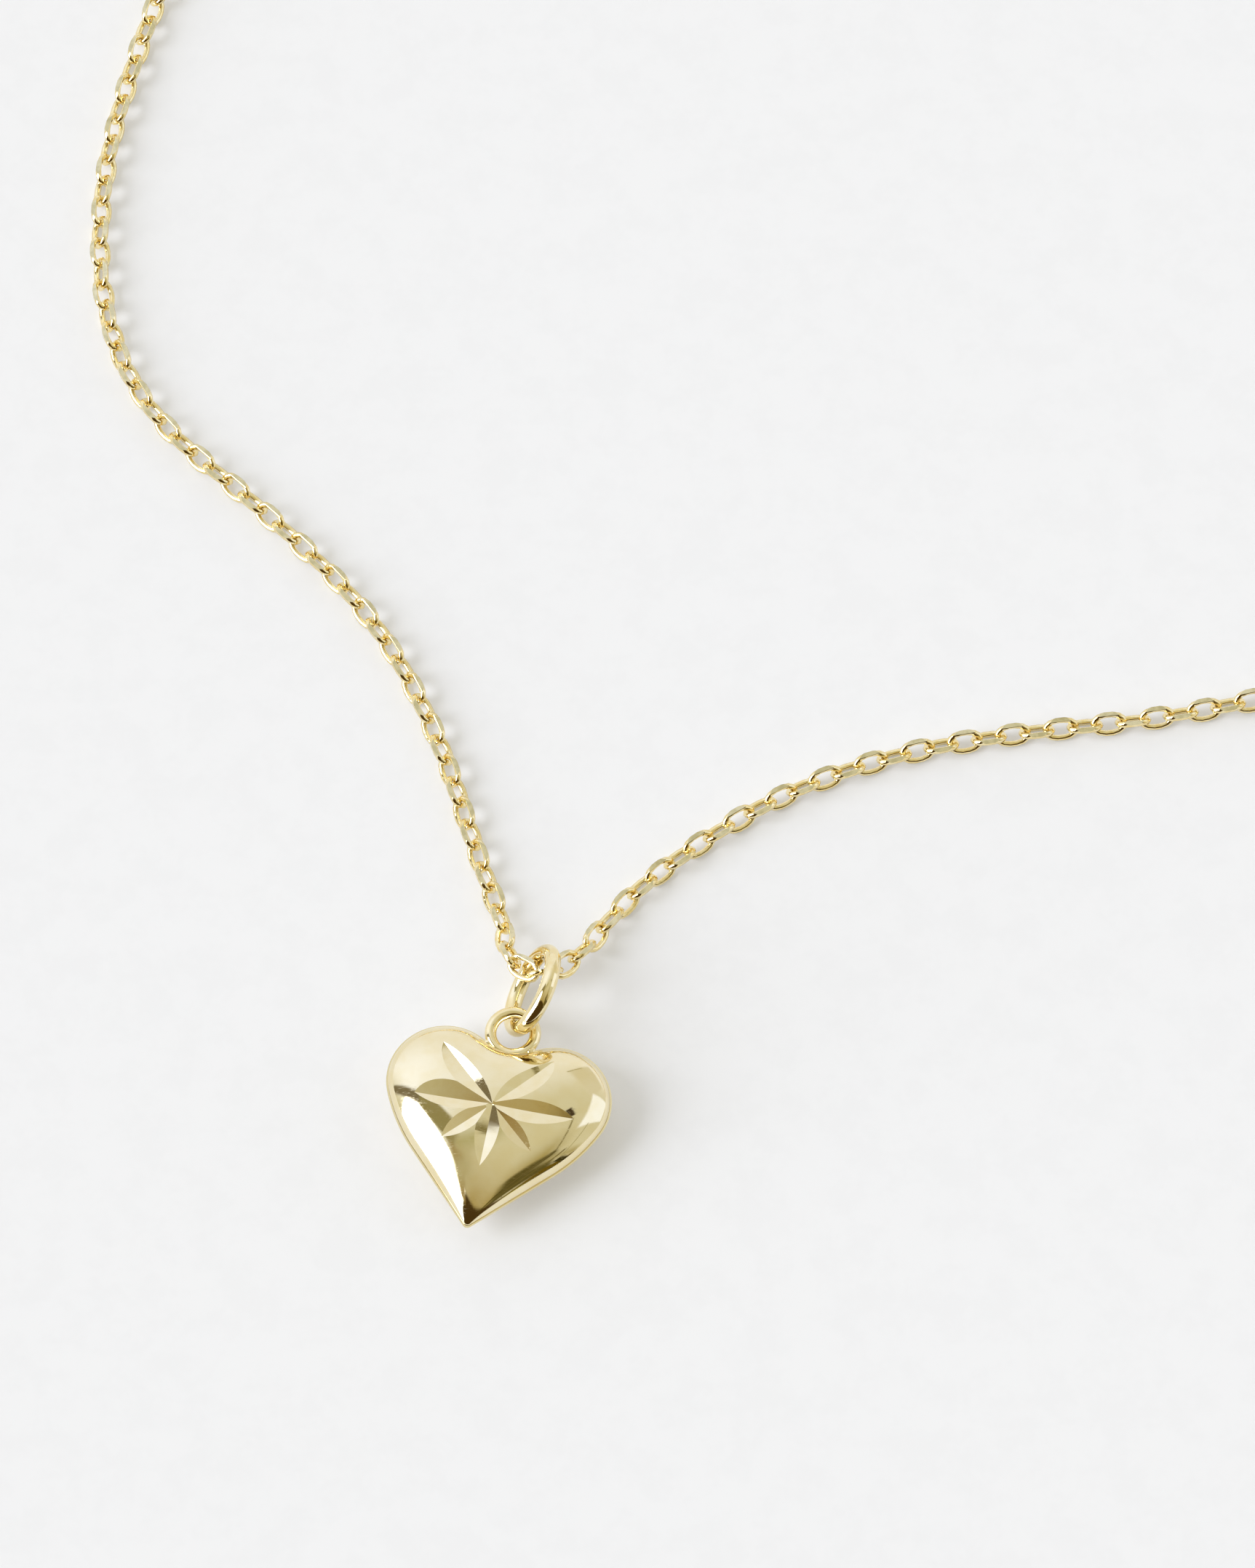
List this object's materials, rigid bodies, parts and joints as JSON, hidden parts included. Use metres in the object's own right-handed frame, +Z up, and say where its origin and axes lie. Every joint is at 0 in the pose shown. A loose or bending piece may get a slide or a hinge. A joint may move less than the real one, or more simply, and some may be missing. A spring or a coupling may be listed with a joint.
{
  "type": "heart pendant necklace",
  "caption": "Fine cable chain necklace in yellow gold with a puffed heart pendant, star-cut front, wire eye and round jump ring, laid flat.",
  "frame": {"origin": "middle of the laid loop's bounding box, on the surface that it lies on", "axes": "+Z up from the surface, +Y from the pendant's end of the loop towards the clasp, +X to the right seen from above"},
  "size_m": [0.1413, 0.161, 0.0045],
  "materials": {
    "gold": "polished pale yellow gold"
  },
  "bodies": {
    "root": {"heart": "gold", "jump_ring": "gold", "chain": "gold", "clasp": "gold"}
  },
  "joints": []
}
